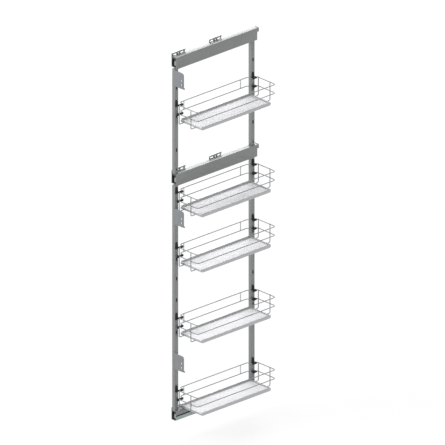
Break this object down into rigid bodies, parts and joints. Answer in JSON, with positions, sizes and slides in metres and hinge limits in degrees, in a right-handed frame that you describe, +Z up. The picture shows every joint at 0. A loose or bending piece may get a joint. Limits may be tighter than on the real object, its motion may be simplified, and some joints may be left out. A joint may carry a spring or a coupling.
{
  "type": "pull-out larder unit",
  "caption": "Side-mounted pull-out larder unit: a tall frame on telescopic ball runners slides out of a narrow cabinet with lift-off wire baskets and brackets for its door.",
  "frame": {"origin": "lower front corner of the bottom mounting plate's back, which lies on the cabinet side", "axes": "+Z up; +X away from the cabinet side that carries the unit; +Y into the cabinet, so the unit pulls out along -Y"},
  "size_m": [0.1525, 0.502, 1.759],
  "materials": {
    "zinc_plated_steel": "zinc plated",
    "bearing_steel": "ground",
    "grey_powder_coat": "satin powder coat",
    "bracket_coat": "satin powder coat",
    "wire_coat": "satin silver coat",
    "rim_coat": "satin silver coat",
    "white_board": "smooth melamine",
    "black_plastic": "moulded"
  },
  "bodies": {
    "cabinet_side": {"top_cabinet_plates": "zinc_plated_steel", "middle_cabinet_plates": "zinc_plated_steel", "bottom_cabinet_plates": "zinc_plated_steel", "plate_rivets": "zinc_plated_steel", "top_cabinet_profile": "zinc_plated_steel", "middle_cabinet_profile": "zinc_plated_steel", "bottom_cabinet_profile": "zinc_plated_steel"},
    "frame": {"top_moving_profile": "zinc_plated_steel", "middle_moving_profile": "zinc_plated_steel", "bottom_moving_profile": "zinc_plated_steel", "top_end_buffers": "black_plastic", "middle_end_buffers": "black_plastic", "bottom_end_buffers": "black_plastic", "runner_front_tabs": "zinc_plated_steel", "top_rail_cover": "grey_powder_coat", "middle_rail_cover": "grey_powder_coat", "bottom_carriage_bracket": "grey_powder_coat", "bottom_guide_strip": "black_plastic", "front_upright_upper": "grey_powder_coat", "front_upright_lower": "grey_powder_coat", "rear_upright_upper": "grey_powder_coat", "rear_upright_lower": "grey_powder_coat", "upright_inserts": "zinc_plated_steel", "flange_screws": "zinc_plated_steel", "door_bracket_top": "bracket_coat", "door_bracket_middle": "bracket_coat", "door_bracket_bottom": "bracket_coat", "door_bracket_screws": "zinc_plated_steel", "basket_clips_1": "black_plastic", "basket_clips_2": "black_plastic", "basket_clips_3": "black_plastic", "basket_clips_4": "black_plastic", "basket_clips_5": "black_plastic"},
    "top_centre": {"top_centre_member": "zinc_plated_steel"},
    "top_cabinet_cage": {"top_cabinet_ball_cage": "bearing_steel"},
    "top_moving_cage": {"top_moving_ball_cage": "bearing_steel"},
    "middle_centre": {"middle_centre_member": "zinc_plated_steel"},
    "middle_cabinet_cage": {"middle_cabinet_ball_cage": "bearing_steel"},
    "middle_moving_cage": {"middle_moving_ball_cage": "bearing_steel"},
    "bottom_centre": {"bottom_centre_member": "zinc_plated_steel"},
    "bottom_cabinet_cage": {"bottom_cabinet_ball_cage": "bearing_steel"},
    "bottom_moving_cage": {"bottom_moving_ball_cage": "bearing_steel"},
    "basket_1": {"basket_wires_1": "wire_coat", "basket_rim_1": "rim_coat", "basket_floor_1": "white_board"},
    "basket_2": {"basket_wires_2": "wire_coat", "basket_rim_2": "rim_coat", "basket_floor_2": "white_board"},
    "basket_3": {"basket_wires_3": "wire_coat", "basket_rim_3": "rim_coat", "basket_floor_3": "white_board"},
    "basket_4": {"basket_wires_4": "wire_coat", "basket_rim_4": "rim_coat", "basket_floor_4": "white_board"},
    "basket_5": {"basket_wires_5": "wire_coat", "basket_rim_5": "rim_coat", "basket_floor_5": "white_board"}
  },
  "joints": [
    {"name": "frame_slide", "type": "slide", "parent": "cabinet_side", "child": "frame", "axis": [0, -1, 0], "range_m": [0, 0.48]},
    {"name": "top_centre_slide", "type": "slide", "parent": "cabinet_side", "child": "top_centre", "axis": [0, -1, 0], "range_m": [0, 0.24]},
    {"name": "top_cabinet_cage_slide", "type": "slide", "parent": "cabinet_side", "child": "top_cabinet_cage", "axis": [0, -1, 0], "range_m": [0, 0.12]},
    {"name": "top_moving_cage_slide", "type": "slide", "parent": "cabinet_side", "child": "top_moving_cage", "axis": [0, -1, 0], "range_m": [0, 0.36]},
    {"name": "middle_centre_slide", "type": "slide", "parent": "cabinet_side", "child": "middle_centre", "axis": [0, -1, 0], "range_m": [0, 0.24]},
    {"name": "middle_cabinet_cage_slide", "type": "slide", "parent": "cabinet_side", "child": "middle_cabinet_cage", "axis": [0, -1, 0], "range_m": [0, 0.12]},
    {"name": "middle_moving_cage_slide", "type": "slide", "parent": "cabinet_side", "child": "middle_moving_cage", "axis": [0, -1, 0], "range_m": [0, 0.36]},
    {"name": "bottom_centre_slide", "type": "slide", "parent": "cabinet_side", "child": "bottom_centre", "axis": [0, -1, 0], "range_m": [0, 0.24]},
    {"name": "bottom_cabinet_cage_slide", "type": "slide", "parent": "cabinet_side", "child": "bottom_cabinet_cage", "axis": [0, -1, 0], "range_m": [0, 0.12]},
    {"name": "bottom_moving_cage_slide", "type": "slide", "parent": "cabinet_side", "child": "bottom_moving_cage", "axis": [0, -1, 0], "range_m": [0, 0.36]},
    {"name": "basket_1_lift", "type": "slide", "parent": "frame", "child": "basket_1", "axis": [0, 0, 1], "range_m": [0, 0.028]},
    {"name": "basket_2_lift", "type": "slide", "parent": "frame", "child": "basket_2", "axis": [0, 0, 1], "range_m": [0, 0.028]},
    {"name": "basket_3_lift", "type": "slide", "parent": "frame", "child": "basket_3", "axis": [0, 0, 1], "range_m": [0, 0.028]},
    {"name": "basket_4_lift", "type": "slide", "parent": "frame", "child": "basket_4", "axis": [0, 0, 1], "range_m": [0, 0.028]},
    {"name": "basket_5_lift", "type": "slide", "parent": "frame", "child": "basket_5", "axis": [0, 0, 1], "range_m": [0, 0.028]}
  ],
  "couplings": [
    {"joint": "top_centre_slide", "follows": "frame_slide", "ratio": 0.5},
    {"joint": "top_cabinet_cage_slide", "follows": "frame_slide", "ratio": 0.25},
    {"joint": "top_moving_cage_slide", "follows": "frame_slide", "ratio": 0.75},
    {"joint": "middle_centre_slide", "follows": "frame_slide", "ratio": 0.5},
    {"joint": "middle_cabinet_cage_slide", "follows": "frame_slide", "ratio": 0.25},
    {"joint": "middle_moving_cage_slide", "follows": "frame_slide", "ratio": 0.75},
    {"joint": "bottom_centre_slide", "follows": "frame_slide", "ratio": 0.5},
    {"joint": "bottom_cabinet_cage_slide", "follows": "frame_slide", "ratio": 0.25},
    {"joint": "bottom_moving_cage_slide", "follows": "frame_slide", "ratio": 0.75}
  ]
}
